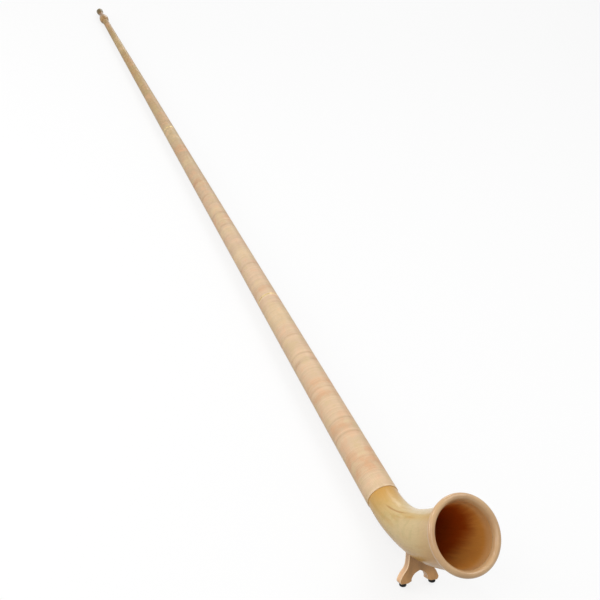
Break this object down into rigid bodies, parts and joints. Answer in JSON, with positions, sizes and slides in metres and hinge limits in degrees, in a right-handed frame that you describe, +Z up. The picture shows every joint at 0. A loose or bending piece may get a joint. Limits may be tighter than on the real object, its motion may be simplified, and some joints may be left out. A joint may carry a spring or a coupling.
{
  "type": "alphorn",
  "caption": "Wooden alphorn with a rattan-bound tapering tube, an upturned bell with a rim ring, a carved foot, pull-apart sections and a turned mouthpiece.",
  "frame": {"origin": "middle of the part's box on the ground it lies on, under the tube", "axes": "+X along the horn towards the bell, +Y to the horn's left, +Z up; the horn lies on its two pads and its mouth collar"},
  "size_m": [3.5996, 0.1764, 0.2905],
  "materials": {
    "lacquered_spruce": "glossy clear lacquer",
    "rim_wood": "glossy clear lacquer",
    "foot_wood": "satin lacquer",
    "rattan": "natural satin",
    "turned_wood": "glossy oil",
    "brass": "satin",
    "black_rubber": "matt"
  },
  "bodies": {
    "bell_section": {"bell_shell_left": "lacquered_spruce", "bell_shell_right": "lacquered_spruce", "rim_ring": "rim_wood", "bell_wrap": "rattan", "bell_wrap_end": "rattan", "bell_socket": "brass", "foot_board": "foot_wood", "foot_dowel_left": "foot_wood", "foot_dowel_right": "foot_wood", "pad_left": "black_rubber", "pad_right": "black_rubber"},
    "middle_section": {"middle_shell_left": "lacquered_spruce", "middle_shell_right": "lacquered_spruce", "middle_wrap": "rattan", "middle_tenon": "brass", "middle_seal_upper": "black_rubber", "middle_seal_lower": "black_rubber", "middle_socket": "brass"},
    "hand_section": {"hand_shell_left": "lacquered_spruce", "hand_shell_right": "lacquered_spruce", "hand_wrap": "rattan", "hand_tenon": "brass", "hand_seal_upper": "black_rubber", "hand_seal_lower": "black_rubber", "mouth_collar": "turned_wood", "receiver_bush": "brass"},
    "mouthpiece": {"mouthpiece": "turned_wood"}
  },
  "joints": [
    {"name": "middle_slide", "type": "slide", "parent": "bell_section", "child": "middle_section", "axis": [-0.9999, 0, -0.0103], "range_m": [0, 0.06]},
    {"name": "hand_slide", "type": "slide", "parent": "middle_section", "child": "hand_section", "axis": [-0.9999, 0, -0.0103], "range_m": [0, 0.06]},
    {"name": "mouthpiece_slide", "type": "slide", "parent": "hand_section", "child": "mouthpiece", "axis": [-0.9999, 0, -0.0103], "range_m": [0, 0.04]}
  ]
}
